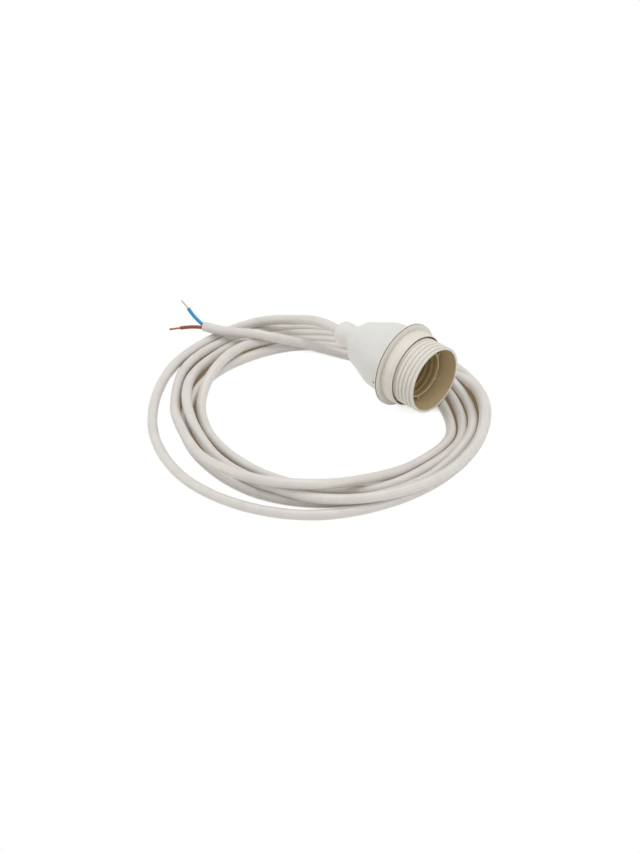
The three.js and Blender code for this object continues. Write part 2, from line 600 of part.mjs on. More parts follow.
makeSkirt();
makeScrewSleeve();
makeShadeRing();
makeDome();
makeCordGrip();
makeCarrier();
makeContacts();
makeRivet('centre_contact_rivet', 1);
makeRivet('side_contact_rivet', -1);
makeTerminal('centre_terminal', 'centre_terminal_screw', 1);
makeTerminal('side_terminal', 'side_terminal_screw', -1);
makeCarrierScrew('carrier_screw_upper', 1);
makeCarrierScrew('carrier_screw_lower', -1);
makeInnerCore('inner_brown_core', 'inner_brown_copper', 1, BROWN);
makeInnerCore('inner_blue_core', 'inner_blue_copper', -1, BLUE);
const route = makeCord();
makeTail('blue_core', 'blue_core_copper', route, -CORE_SPACING / 2,
  BLUE_TAIL, BLUE_COPPER_RUN, BLUE, PALE_COPPER);
makeTail('brown_core', 'brown_core_copper', route, CORE_SPACING / 2,
  BROWN_TAIL, BROWN_COPPER_RUN, BROWN, COPPER);

export default set;
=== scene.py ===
"""Pendant cord set: the finished surfaces of a lamp holder, its shade ring and its coiled flex."""
import math
import random

import bmesh
import bpy
from mathutils import Matrix, Vector


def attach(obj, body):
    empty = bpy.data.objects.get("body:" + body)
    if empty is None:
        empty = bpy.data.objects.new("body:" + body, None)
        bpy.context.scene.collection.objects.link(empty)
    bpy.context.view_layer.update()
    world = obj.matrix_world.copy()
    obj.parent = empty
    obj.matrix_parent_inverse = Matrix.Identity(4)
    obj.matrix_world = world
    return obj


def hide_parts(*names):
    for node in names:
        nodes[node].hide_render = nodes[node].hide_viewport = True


MM = 0.001

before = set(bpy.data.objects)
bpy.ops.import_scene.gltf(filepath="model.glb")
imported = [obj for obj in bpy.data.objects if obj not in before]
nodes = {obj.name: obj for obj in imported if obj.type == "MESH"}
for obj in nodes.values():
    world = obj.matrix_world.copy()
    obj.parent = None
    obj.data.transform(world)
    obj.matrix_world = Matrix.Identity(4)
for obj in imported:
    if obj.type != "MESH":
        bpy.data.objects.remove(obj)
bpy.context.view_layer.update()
bpy.ops.object.select_all(action="DESELECT")

# Holder: distances are measured back from the mouth along the axis, in millimetres
HOLDER_LENGTH = 71.5
MOUTH_X = HOLDER_LENGTH / 2
AXIS_HEIGHT = 25.0
ROUND_STEPS = 144                  # steps round the large turned mouldings
NUT_STEPS = 96
FILLET_STEPS = 4
SMOOTH_UNDER = 32                  # degrees between faces that still shade as one


# ---------------------------------------------------------------- camera
PHOTO_AIM = Vector((-5.15, -51.17, 0.0)) * MM
PHOTO_AZIMUTH = 42.5
PHOTO_ELEVATION = 37.0
PHOTO_DISTANCE = 1.4
PHOTO_FOCAL_PIXELS = 2471.0
PHOTO_HEIGHT_PIXELS = 853.0
SENSOR = 36.0


def add_camera():
    data = bpy.data.cameras.new("photo_camera")
    data.sensor_fit = "VERTICAL"
    data.sensor_width = SENSOR
    data.sensor_height = SENSOR
    data.lens = SENSOR * PHOTO_FOCAL_PIXELS / PHOTO_HEIGHT_PIXELS
    data.clip_start = 0.05
    data.clip_end = 20
    camera = bpy.data.objects.new("photo_camera", data)
    bpy.context.scene.collection.objects.link(camera)
    turn = math.radians(PHOTO_AZIMUTH)
    rise = math.radians(PHOTO_ELEVATION)
    back = Vector((math.sin(turn) * math.cos(rise), -math.cos(turn) * math.cos(rise), math.sin(rise)))
    camera.location = PHOTO_AIM + back * PHOTO_DISTANCE
    camera.rotation_euler = (-back).to_track_quat("-Z", "Y").to_euler()
    bpy.context.scene.camera = camera


add_camera()


# ---------------------------------------------------------------- flex
# Route of the flex: out of the neck, then five turns about the coil's centre, then the bare end.
# A turn lists (radius, height) at every STATION_ANGLE degrees.
COIL_CENTRE = (-14.0, -44.0)
STATION_ANGLE = 24
FIRST_STATION = 144
LAID = 2.9                         # height of a strand's middle when it lies on the paper
NECK_ROUTE = [(-19.25, 0, 25), (-35.75, 0, 25), (-50, 0, 24.4), (-62, 0, 20.8)]
DESCENT = [(144, 74.8, 15.1), (150, 81.6, 12), (157, 88.2, 8.3)]
TURNS = [
    [None, (93.8, 3.7), (94.6, LAID), (93.3, LAID), (94.6, LAID), (96, LAID), (95.3, LAID),
     (94.4, LAID), (92.4, LAID), (92.8, LAID), (95, LAID), (96.3, LAID), (90.6, LAID), (80.2, LAID),
     (75.7, LAID)],
    [(77.5, LAID), (80.7, LAID), (80, LAID), (75, 8.9), (72.3, 8.6), (73, 6), (79, 8.9),
     (87.2, 8.9), (92.4, 8.9), (96, 8.8), (96.3, 9.3), (92.4, 8.9), (83.9, LAID), (73.7, LAID),
     (69.7, LAID)],
    [(71.4, LAID), (70.8, 8), (67.3, 9.4), (66.5, 4.6), (64.5, LAID), (63.6, LAID), (66, LAID),
     (71.5, LAID), (78.5, LAID), (80.5, LAID), (84.9, LAID), (79.3, LAID), (73.2, LAID), (67.4, LAID),
     (63.8, LAID)],
    [(65.2, LAID), (66.2, LAID), (69.6, LAID), (73.2, LAID), (77.5, LAID), (79.1, LAID), (82, LAID),
     (83.6, LAID), (84.6, LAID), (86.7, LAID), (90.1, 7), (86.2, 3.2), (78.2, 8.9), (84.2, 8.9),
     (81.5, LAID)],
    [(84.4, LAID), (87.3, LAID), (87.6, LAID), (81.7, LAID), (80, 9.2), (83.3, 11.7), (84.9, 14.9),
     (82.9, 15), (74.2, 7.5), (73.8, LAID), (78.6, LAID), (71.5, LAID), (66.7, LAID), (59, LAID),
     (57.8, 3.2)],
]
BARE_END = [(144, 60.8, 8.9), (156, 65.6, 11.8), (163, 72.3, 12.8), (168, 80.2, 11.4),
            (171.3, 89, 10), (174.3, 100.4, 9.2)]
FLEX_RADIUS = 2.85
FLEX_SIDES = 24
ROUTE_STEPS = 8                    # points of the path between two points of the route
SHEATH_WALL = 0.7
CORE_RADIUS = 1.05
CORE_SIDES = 20
CORE_SPACING = 2.3
CORE_LAY = 46.0                    # the two cores inside twist once in this length
STRIP_RECESS = 1.4                 # from the sheath's cut end in to where the cores leave it


def on_coil(degrees, radius, height):
    angle = math.radians(degrees)
    return Vector((COIL_CENTRE[0] + radius * math.cos(angle),
                   COIL_CENTRE[1] + radius * math.sin(angle), height))


def flex_route():
    points = [Vector(p) for p in NECK_ROUTE]
    points += [on_coil(*p) for p in DESCENT]
    for turn in TURNS:
        for i, station in enumerate(turn):
            if station:
                points.append(on_coil(FIRST_STATION + i * STATION_ANGLE, *station))
    points += [on_coil(*p) for p in BARE_END]
    return points


def smooth_route(points, steps):
    """A centripetal spline through the points, as a dense list of points."""
    padded = [2 * points[0] - points[1], *points, 2 * points[-1] - points[-2]]
    dense = []
    for a, b, c, d in zip(padded, padded[1:], padded[2:], padded[3:]):
        ta = 0.0
        tb = ta + math.sqrt((b - a).length)
        tc = tb + math.sqrt((c - b).length)
        td = tc + math.sqrt((d - c).length)
        for i in range(steps):
            t = tb + (tc - tb) * i / steps
            ab = a.lerp(b, (t - ta) / (tb - ta))
            bc = b.lerp(c, (t - tb) / (tc - tb))
            cd = c.lerp(d, (t - tc) / (td - tc))
            abc = ab.lerp(bc, (t - ta) / (tc - ta))
            bcd = bc.lerp(cd, (t - tb) / (td - tb))
            dense.append(abc.lerp(bcd, (t - tb) / (tc - tb)))
    dense.append(points[-1].copy())
    return dense


def object_from(mesh, name):
    data = bpy.data.meshes.new(name)
    mesh.to_mesh(data)
    mesh.free()
    made = bpy.data.objects.new(name, data)
    bpy.context.scene.collection.objects.link(made)
    return made


def plain_radius(radius):
    return lambda run, angle: radius


def swept_tube(name, path, sides, radius_at, end_rings=()):
    """A closed tube along the path. End rings are (distance past the end, radius), wall first."""
    tangents = []
    for i in range(len(path)):
        ahead = path[min(i + 1, len(path) - 1)]
        behind = path[max(i - 1, 0)]
        tangents.append((ahead - behind).normalized())
    side = tangents[0].cross(Vector((0, 0, 1)))
    if side.length < 0.1:
        side = tangents[0].cross(Vector((1, 0, 0)))
    side.normalize()
    mesh = bmesh.new()
    run_map = mesh.loops.layers.uv.new("run_and_round")
    rings = []
    length = 0.0

    def add_ring(centre, along, across, run, radius_of):
        up = across.cross(along).normalized()
        ring = []
        for j in range(sides):
            angle = math.tau * j / sides
            offset = across * math.cos(angle) + up * math.sin(angle)
            ring.append(mesh.verts.new((centre + offset * radius_of(run, angle)) * MM))
        rings.append((ring, run))

    for i, point in enumerate(path):
        if i:
            length += (point - path[i - 1]).length
            side = side - tangents[i] * side.dot(tangents[i])
            side.normalize()
        add_ring(point, tangents[i], side, length, radius_at)
    leave = tangents[-1]
    for past, radius in end_rings:
        add_ring(path[-1] + leave * past, leave, side, length + past, plain_radius(radius))
    around = math.tau * radius_at(0, 0)
    for (ring_a, run_a), (ring_b, run_b) in zip(rings, rings[1:]):
        for j in range(sides):
            k = (j + 1) % sides
            face = mesh.faces.new((ring_a[j], ring_a[k], ring_b[k], ring_b[j]))
            spots = ((run_a, j), (run_a, j + 1), (run_b, j + 1), (run_b, j))
            for loop, (run, step) in zip(face.loops, spots):
                loop[run_map].uv = (run * MM, around * step / sides * MM)
            face.smooth = True
    for (ring, run), flip in ((rings[0], True), (rings[-1], False)):
        face = mesh.faces.new(list(reversed(ring)) if flip else ring)
        for loop in face.loops:
            loop[run_map].uv = (run * MM, 0)
    bmesh.ops.recalc_face_normals(mesh, faces=mesh.faces)
    return object_from(mesh, name)


def sheath_radius(run, angle):
    """The sheath is drawn over two twisted cores, so it is slightly oval, and never quite even."""
    oval = 0.011 * math.cos(2 * (angle - math.tau * run / CORE_LAY))
    uneven = 0.004 * math.sin(run / 5.3) + 0.004 * math.sin(run / 12.7 + 1.3)
    return FLEX_RADIUS * (1 + oval + uneven)


route = flex_route()
flex_path = smooth_route(route, ROUTE_STEPS)
flex = swept_tube(
    "flex_sheath", flex_path, FLEX_SIDES, sheath_radius,
    end_rings=[(0.12, FLEX_RADIUS - 0.12), (0.12, FLEX_RADIUS - SHEATH_WALL),
               (-STRIP_RECESS, FLEX_RADIUS - SHEATH_WALL - 0.05)],
)

# The stripped end. Each core's points are (onwards, left, up) from where it leaves the sheath, and
# each run gives the direction that its bare strands take.
BLUE_TAIL = [(0, 0, 0), (1, 0, 0.1), (4.3, -0.1, 2), (8.0, -0.2, 5), (11.2, -0.2, 8.9)]
BROWN_TAIL = [(0, 0, 0), (1.2, 0.3, 0), (5, 2.2, 0.3), (8.8, 4.1, 0.1), (12.2, 5.8, -0.4)]
BLUE_COPPER_RUN = (4.6, -0.1, 4.3)
BROWN_COPPER_RUN = (5.6, 3.3, -0.7)
STRIPPED_LENGTH = 6.8
STRAND_RADIUS = 0.115
STRAND_SIDES = 7
STRAND_STEPS = 18
STRAND_TWIST = 3.6                 # radians over the bare length
STRANDS_HIDDEN = 0.6               # the strands start this far inside the covering
LAYER_RADII = (0.0, 0.24, 0.45)    # one strand in the middle, six round it, the rest outside


def core_lead(name, lateral, offsets):
    """One insulated core, from inside the sheath's cut end to where it is stripped."""
    end = route[-1]
    tangent = (end - route[-2]).normalized()
    forward = Vector((tangent.x, tangent.y, 0)).normalized()
    left = Vector((-forward.y, forward.x, 0))
    start = end + left * lateral
    line = [start - tangent * (STRIP_RECESS + 0.6)]
    line += [start + forward * a + left * b + Vector((0, 0, c)) for a, b, c in offsets]
    cut = [(0.06, CORE_RADIUS - 0.06), (0.06, 0.6), (-0.5, 0.55)]
    path = smooth_route(line, ROUTE_STEPS)
    core = swept_tube(name, path, CORE_SIDES, plain_radius(CORE_RADIUS), end_rings=cut)
    return core, line[-1], (line[-1] - line[-2]).normalized(), forward, left


def copper_strands(name, tip, leave, run, forward, left, count, splay, seed):
    """Bare strands twisted together, a little loose towards their tips."""
    shuffle = random.Random(seed)
    aim = (forward * run[0] + left * run[1] + Vector((0, 0, run[2]))).normalized()
    spine = [tip - leave * STRANDS_HIDDEN]
    length = STRIPPED_LENGTH + STRANDS_HIDDEN
    for i in range(1, STRAND_STEPS + 1):
        onwards = leave.lerp(aim, min(1, 2 * i / STRAND_STEPS)).normalized()
        spine.append(spine[-1] + onwards * length / STRAND_STEPS)
    across = aim.cross(Vector((0, 0, 1))).normalized()
    up = across.cross(aim).normalized()
    strands = []
    for ring_radius, number in zip(LAYER_RADII, (1, 6, count - 7)):
        for k in range(number):
            phase = math.tau * k / number + shuffle.uniform(-0.1, 0.1)
            reach = 1 - shuffle.uniform(0.0, 0.16)
            loose = shuffle.uniform(0.2, 1.0) * splay
            line = []
            for i, point in enumerate(spine):
                share = i / STRAND_STEPS
                if share > reach:
                    break
                angle = phase + STRAND_TWIST * share
                away = ring_radius + loose * share ** 3
                line.append(point + (across * math.cos(angle) + up * math.sin(angle)) * away)
            strands.append(swept_tube(
                f"{name}_{len(strands)}", line, STRAND_SIDES, plain_radius(STRAND_RADIUS),
                end_rings=[(0.05, STRAND_RADIUS * 0.6)]))
    bpy.ops.object.select_all(action="DESELECT")
    for strand in strands:
        strand.select_set(True)
    bpy.context.view_layer.objects.active = strands[0]
    bpy.ops.object.join()
    bundle = bpy.context.object
    bundle.name = bundle.data.name = name
    bpy.ops.object.select_all(action="DESELECT")
    return bundle


blue_lead, blue_tip, blue_leave, forward, left = core_lead(
    "blue_core_lead", -CORE_SPACING / 2, BLUE_TAIL)
brown_lead, brown_tip, brown_leave, forward, left = core_lead(
    "brown_core_lead", CORE_SPACING / 2, BROWN_TAIL)
blue_strands = copper_strands(
    "blue_core_strands", blue_tip, blue_leave, BLUE_COPPER_RUN, forward, left, 16, 0.0, 5)
brown_strands = copper_strands(
    "brown_core_strands", brown_tip, brown_leave, BROWN_COPPER_RUN, forward, left, 19, 0.25, 9)


# ---------------------------------------------------------------- turned mouldings
def along(back):
    return (MOUTH_X - back) * MM


def filleted(outline):
    """Corners given as (back, radius, fillet) become short arcs; the outline closes on itself."""
    spots = [Vector((p[0], p[1])) for p in outline]
    rounded = []
    for i, corner in enumerate(outline):
        fillet = corner[2] if len(corner) > 2 else 0
        here = spots[i]
        if not fillet:
            rounded.append(here)
            continue
        to_before = spots[i - 1] - here
        to_after = spots[(i + 1) % len(spots)] - here
        reach = min(fillet, 0.48 * to_before.length, 0.48 * to_after.length)
        start = here + to_before.normalized() * reach
        end = here + to_after.normalized() * reach
        for step in range(FILLET_STEPS + 1):
            t = step / FILLET_STEPS
            rounded.append(start.lerp(here, t).lerp(here.lerp(end, t), t))
    return rounded


def turned(name, outline, steps=ROUND_STEPS):
    """Draws a list of (back, radius) vertex by vertex, then spins it about the holder's axis."""
    bpy.ops.object.select_all(action="DESELECT")
    bpy.ops.mesh.primitive_plane_add(size=MM, location=(0, 0, 0))
    piece = bpy.context.object
    piece.name = piece.data.name = name
    bpy.ops.object.mode_set(mode="EDIT")
    bpy.ops.mesh.select_all(action="SELECT")
    bpy.ops.mesh.merge(type="CENTER")
    here = Vector((along(outline[0][0]), 0, (AXIS_HEIGHT + outline[0][1]) * MM))
    bpy.ops.transform.translate(value=here)
    for back, radius in [*outline[1:], outline[0]]:
        spot = Vector((along(back), 0, (AXIS_HEIGHT + radius) * MM))
        bpy.ops.mesh.extrude_region_move(TRANSFORM_OT_translate={"value": spot - here})
        here = spot
    bpy.ops.mesh.select_all(action="SELECT")
    bpy.ops.mesh.spin(steps=steps, angle=math.tau, center=(0, 0, AXIS_HEIGHT * MM), axis=(1, 0, 0))
    bpy.ops.mesh.select_all(action="SELECT")
    bpy.ops.mesh.remove_doubles(threshold=0.002 * MM)
    bpy.ops.mesh.normals_make_consistent(inside=False)
    bpy.ops.object.mode_set(mode="OBJECT")
    finish_shading(piece)
    return piece


def finish_shading(piece):
    bpy.ops.object.select_all(action="DESELECT")
    piece.select_set(True)
    bpy.context.view_layer.objects.active = piece
    bpy.ops.object.shade_smooth_by_angle(angle=math.radians(SMOOTH_UNDER))
    bpy.ops.object.select_all(action="DESELECT")


def block_on_axis(name, front, back, inner, outer, width, degrees, bevel=0.0):
    """A block that stands out from the holder's axis, turned by an angle from straight up."""
    bpy.ops.object.select_all(action="DESELECT")
    bpy.ops.mesh.primitive_cube_add(size=MM)
    block = bpy.context.object
    block.name = block.data.name = name
    block.scale = (back - front, width, outer - inner)
    bpy.ops.object.transform_apply(location=False, rotation=False, scale=True)
    if bevel:
        bpy.ops.object.mode_set(mode="EDIT")
        bpy.ops.mesh.select_all(action="SELECT")
        bpy.ops.mesh.bevel(offset=bevel * MM, segments=2, affect="EDGES")
        bpy.ops.object.mode_set(mode="OBJECT")
    axis = Matrix.Translation((0, 0, AXIS_HEIGHT * MM))
    turn = Matrix.Rotation(math.radians(degrees), 4, "X")
    middle = Matrix.Translation((along((front + back) / 2), 0, (inner + outer) / 2 * MM))
    block.data.transform(axis @ turn @ middle)
    bpy.ops.object.select_all(action="DESELECT")
    return block


def join_or_cut(piece, tools, operation):
    """Unites the tools with the piece, or cuts them from it, and removes them."""
    bpy.ops.object.select_all(action="DESELECT")
    for tool in tools:
        tool.select_set(True)
    bpy.context.view_layer.objects.active = tools[0]
    if len(tools) > 1:
        bpy.ops.object.join()
    tool = bpy.context.view_layer.objects.active
    bpy.ops.object.select_all(action="DESELECT")
    piece.select_set(True)
    bpy.context.view_layer.objects.active = piece
    change = piece.modifiers.new("shape", "BOOLEAN")
    change.operation = operation
    change.solver = "EXACT"
    change.object = tool
    bpy.ops.object.modifier_apply(modifier="shape")
    bpy.data.objects.remove(tool)
    bpy.ops.object.select_all(action="DESELECT")


WALL_TOLERANCE = 0.05              # how far a point may lie off the wall that gets the thread


def ease(share):
    share = max(0.0, min(1.0, share))
    return share * share * (3 - 2 * share)


def rows(first, last, radius, count):
    """Evenly spaced outline points on a straight wall, for a thread to be drawn in."""
    return [(first + (last - first) * i / count, radius) for i in range(count + 1)]


def wind_thread(piece, front, back, first, radius, pitch, height, fade, valley, from_crest=False):
    """Moves the points of a plain wall along one continuous helical ridge.

    front, back: where the thread starts and ends; first: where its first valley lies, straight up
    height: how far the ridge stands out, or in where it is negative
    fade: length over which the thread grows and dies away; valley: share of the pitch that is valley
    from_crest: the plain wall lies on the crests, and the valleys are cut from it
    """
    for vertex in piece.data.vertices:
        y = vertex.co.y
        z = vertex.co.z - AXIS_HEIGHT * MM
        distance = math.hypot(y, z) / MM
        place = MOUTH_X - vertex.co.x / MM
        if abs(distance - radius) > WALL_TOLERANCE or not front - 1e-3 <= place <= back + 1e-3:
            continue
        turn = math.atan2(y, z) / math.tau
        phase = (place - first) / pitch + turn
        off_valley = abs(phase - round(phase))
        ridge = ease((off_valley - valley * 0.25) / (valley * 0.75))
        if from_crest:
            ridge -= 1
        strength = ease((place - front) / fade) * ease((back - place) / fade)
        scale = (distance + height * ridge * strength) / distance
        vertex.co.y = y * scale
        vertex.co.z = z * scale + AXIS_HEIGHT * MM


THREAD_FRONT = 0.5
THREAD_BACK = 18.0
THREAD_FIRST_VALLEY = 1.3
THREAD_CREST = 20.0
THREAD_ROOT = 19.1
THREAD_PITCH = 2.72
THREAD_ROWS = 110
MOUTH_BORE = 18.5
MOUTH_BORE_DEPTH = 14.0
BARREL_LENGTH = 31
BARREL_BORE = 17.9
LEDGE_FRONT = 27.5                 # inner ledge that the sleeve's web comes to rest on
LEDGE_BACK = 28.7
LEDGE_BORE = 17.0


def make_skirt():
    outline = filleted([
        (0, MOUTH_BORE, 0.15), (0, THREAD_CREST, 0.3),
        *rows(THREAD_FRONT, THREAD_BACK, THREAD_CREST, THREAD_ROWS),
        (THREAD_BACK + 0.3, THREAD_ROOT, 0.2), (BARREL_LENGTH, THREAD_ROOT, 0.3),
        (BARREL_LENGTH, BARREL_BORE, 0.2), (LEDGE_BACK, BARREL_BORE), (LEDGE_BACK, LEDGE_BORE, 0.1),
        (LEDGE_FRONT, LEDGE_BORE, 0.1), (LEDGE_FRONT, BARREL_BORE, 0.1),
        (MOUTH_BORE_DEPTH, BARREL_BORE, 0.4),
    ])
    skirt = turned("skirt_moulding", outline)
    wind_thread(skirt, THREAD_FRONT, THREAD_BACK, THREAD_FIRST_VALLEY, THREAD_CREST, THREAD_PITCH,
                THREAD_CREST - THREAD_ROOT, fade=0.5, valley=0.3, from_crest=True)
    finish_shading(skirt)
    return skirt


SLEEVE_LIP = 9.0
SLEEVE_END = 34
SLEEVE_BORE = 13.2
SLEEVE_OUTER = 14.4
WEB_FRONT = 29
WEB_RADIUS = 17.6
LAMP_THREAD_FRONT = SLEEVE_LIP + 0.6
LAMP_THREAD_BACK = 33
LAMP_THREAD_PITCH = 3.62
LAMP_THREAD_HEIGHT = 0.4
LAMP_THREAD_ROWS = 70
LAMP_THREAD_ROOT = SLEEVE_BORE + LAMP_THREAD_HEIGHT
RIB_COUNT = 6
RIB_START_ANGLE = 50               # degrees from straight up
RIB_FRONT = 9.5
RIB_BACK = 29.3
RIB_INNER = 14.1
RIB_OUTER = 16.7
RIB_THICKNESS = 1.2


def make_screw_sleeve():
    outline = filleted([
        (SLEEVE_LIP, LAMP_THREAD_ROOT, 0.2), (SLEEVE_LIP, SLEEVE_OUTER, 0.25),
        (WEB_FRONT, SLEEVE_OUTER, 0.3), (WEB_FRONT, WEB_RADIUS, 0.2),
        (BARREL_LENGTH, WEB_RADIUS, 0.2), (BARREL_LENGTH, SLEEVE_OUTER, 0.3),
        (SLEEVE_END, SLEEVE_OUTER, 0.2), (SLEEVE_END, SLEEVE_BORE, 0.2),
        *rows(LAMP_THREAD_BACK, LAMP_THREAD_FRONT, LAMP_THREAD_ROOT, LAMP_THREAD_ROWS),
    ])
    sleeve = turned("screw_sleeve_moulding", outline)
    wind_thread(sleeve, LAMP_THREAD_FRONT, LAMP_THREAD_BACK, LAMP_THREAD_FRONT, LAMP_THREAD_ROOT,
                LAMP_THREAD_PITCH, -LAMP_THREAD_HEIGHT, fade=2.0, valley=0.5)
    ribs = [block_on_axis(f"rib_{i}", RIB_FRONT, RIB_BACK, RIB_INNER, RIB_OUTER, RIB_THICKNESS,
                          RIB_START_ANGLE + 360 / RIB_COUNT * i, bevel=0.2) for i in range(RIB_COUNT)]
    join_or_cut(sleeve, ribs, "UNION")
    finish_shading(sleeve)
    return sleeve


RING_FRONT = 13.65
RING_BAND = 21.9                   # radius
RING_BORE = 20.35
RING_GROOVE = 21.25                # radius of the groove between band and flange
RIM_GROOVE = 24.6                  # radius of the narrow groove round the flange's rim
RIM_GROOVE_FRONT = 22.3
RIM_GROOVE_BACK = 22.76
FLANGE_RADIUS = 25.0
FLANGE_BACK = 23.6
FLANGE_RECESS_FRONT = 23.2         # the step that the dome's rim drops into
LUG_FRONT = 20.6                   # small lugs that bridge the groove
LUG_BACK = 22.4
LUG_INNER = 20.9
LUG_OUTER = 21.8
LUG_WIDTH = 1.3
LUG_COUNT = 4
LUG_START_ANGLE = 70               # degrees from straight up


def make_shade_ring():
    outline = filleted([
        (RING_FRONT, 20.6, 0.1), (RING_FRONT, 21.35, 0.3), (14.75, 21.55, 0.15),
        (15.05, RING_BAND, 0.2), (20.7, RING_BAND, 0.3), (21.2, RING_GROOVE, 0.25),
        (21.85, RING_GROOVE, 0.2),
        (22.0, 23.9, 0.6), (22.2, 24.95, 0.25), (RIM_GROOVE_FRONT, 24.95),
        (RIM_GROOVE_FRONT + 0.02, RIM_GROOVE), (RIM_GROOVE_BACK - 0.02, RIM_GROOVE),
        (RIM_GROOVE_BACK, FLANGE_RADIUS, 0.08), (FLANGE_BACK, FLANGE_RADIUS, 0.25),
        (FLANGE_BACK, 21.95, 0.1), (FLANGE_RECESS_FRONT, 21.95, 0.05),
        (FLANGE_RECESS_FRONT, RING_BORE, 0.15), (14.5, RING_BORE, 0.1),
    ])
    ring = turned("shade_ring_moulding", outline)
    lugs = [block_on_axis(f"lug_{i}", LUG_FRONT, LUG_BACK, LUG_INNER, LUG_OUTER, LUG_WIDTH,
                          LUG_START_ANGLE + 360 / LUG_COUNT * i, bevel=0.12) for i in range(LUG_COUNT)]
    join_or_cut(ring, lugs, "UNION")
    finish_shading(ring)
    return ring


DOME_FRONT = 23.5
DOME_NECK = 62
DOME_SIDE = [(DOME_FRONT, 21.3), (27, 20.9), (31, 20.45), (35, 20.0), (38, 19.5), (42, 18.0),
             (46, 16.2), (50, 14.6), (54, 13.0), (57.9, 9.7), (60.5, 7.4), (DOME_NECK, 6.5)]
DOME_SIDE_STEPS = 6
DOME_WALL = 1.8
DOME_WALL_SHIFT = 0.9              # the inside of the slope sits this much further forward
DOME_RIM_BORE = 19.5
GRIP_BORE = 4.6
LATCH_SLOT_FRONT = 27.5
LATCH_SLOT_BACK = 28.8
LATCH_SLOT_WIDTH = 2.0
LATCH_SLOT_ANGLES = (102, 282)     # degrees from straight up


def make_dome():
    side = smooth_route([Vector((b, r, 0)) for b, r in DOME_SIDE], DOME_SIDE_STEPS)
    outer = [(p.x, p.y) for p in side]
    inner = [(b - DOME_WALL_SHIFT, r - DOME_WALL) for b, r in outer if 38.5 < b < 57.5]
    outline = filleted([
        (DOME_FRONT, DOME_RIM_BORE, 0.2), (*DOME_SIDE[0], 0.25), *outer[1:-1], DOME_SIDE[-1],
        (DOME_NECK, GRIP_BORE), (58.5, GRIP_BORE), *reversed(inner), (31.3, DOME_RIM_BORE, 0.2),
    ])
    dome = turned("dome_moulding", outline)
    slots = [block_on_axis(f"slot_{i}", LATCH_SLOT_FRONT, LATCH_SLOT_BACK, 18.5, 23.5, LATCH_SLOT_WIDTH,
                           angle) for i, angle in enumerate(LATCH_SLOT_ANGLES)]
    join_or_cut(dome, slots, "DIFFERENCE")
    finish_shading(dome)
    return dome


NUT_FRONT = 62.03
NUT_BORE = 3.15


def make_grip_nut():
    outline = filleted([
        (NUT_FRONT, NUT_BORE, 0.1), (NUT_FRONT, 6.48), (62.6, 6.58, 0.3), (64.2, 6.95, 0.9),
        (66.5, 7.1, 1.0), (70.3, 6.9, 0.6), (HOLDER_LENGTH, 6.0, 0.5), (HOLDER_LENGTH, 3.4, 0.25),
        (70.9, NUT_BORE, 0.1),
    ])
    return turned("grip_nut_moulding", outline, steps=NUT_STEPS)


skirt = make_skirt()
sleeve = make_screw_sleeve()
shade_ring = make_shade_ring()
dome = make_dome()
grip_nut = make_grip_nut()


# ---------------------------------------------------------------- inner metal and insulator
def softened_copy(node, name, width):
    """The same solid with its sharp edges broken."""
    source = nodes[node]
    piece = bpy.data.objects.new(name, source.data.copy())
    piece.data.name = name
    piece.data.materials.clear()
    bpy.context.scene.collection.objects.link(piece)
    bpy.ops.object.select_all(action="DESELECT")
    piece.select_set(True)
    bpy.context.view_layer.objects.active = piece
    bpy.ops.object.mode_set(mode="EDIT")
    bpy.ops.mesh.select_all(action="SELECT")
    bpy.ops.mesh.remove_doubles(threshold=0.003 * MM)
    bpy.ops.mesh.dissolve_limited(angle_limit=math.radians(1))
    bpy.ops.object.mode_set(mode="OBJECT")
    edges = piece.modifiers.new("edges", "BEVEL")
    edges.width = width * MM
    edges.segments = 2
    edges.limit_method = "ANGLE"
    edges.angle_limit = math.radians(40)
    edges.use_clamp_overlap = True
    bpy.ops.object.modifier_apply(modifier="edges")
    finish_shading(piece)
    return piece


# Each piece, how wide its edges are broken, and its slot
INNER_PIECES = [
    ("contact_carrier", 0.25, "insulator"),
    ("centre_contact", 0.12, "contact_brass"),
    ("side_contact", 0.12, "contact_brass"),
    ("centre_contact_rivet", 0.25, "contact_brass"),
    ("side_contact_rivet", 0.25, "contact_brass"),
    ("centre_terminal", 0.3, "contact_brass"),
    ("side_terminal", 0.3, "contact_brass"),
    ("centre_terminal_screw", 0.25, "plated_steel"),
    ("side_terminal_screw", 0.25, "plated_steel"),
    ("carrier_screw_upper", 0.25, "plated_steel"),
    ("carrier_screw_lower", 0.25, "plated_steel"),
]
inner = {node: softened_copy(node, f"{node}_finished", width) for node, width, slot in INNER_PIECES}


# ---------------------------------------------------------------- finishes
def srgb(red, green, blue):
    """A colour as it looks on screen, 0 to 255, as linear values."""
    def linear(value):
        value /= 255
        return value / 12.92 if value <= 0.04045 else ((value + 0.055) / 1.055) ** 2.4
    return (linear(red), linear(green), linear(blue), 1.0)


def new_group(name, inputs):
    """A surface group: inputs with their first values; colour, roughness and height come out."""
    group = bpy.data.node_groups.new(name, "ShaderNodeTree")
    for label, kind, value in inputs:
        socket = group.interface.new_socket(name=label, in_out="INPUT", socket_type=kind)
        if value is not None:
            socket.default_value = value
    for label, kind in (("Colour", "NodeSocketColor"), ("Roughness", "NodeSocketFloat"),
                        ("Height", "NodeSocketFloat")):
        group.interface.new_socket(name=label, in_out="OUTPUT", socket_type=kind)
    return group, group.nodes.new("NodeGroupInput").outputs


def give_out(group, colour, roughness, height):
    end = group.nodes.new("NodeGroupOutput")
    group.links.new(colour, end.inputs["Colour"])
    group.links.new(roughness, end.inputs["Roughness"])
    group.links.new(height, end.inputs["Height"])


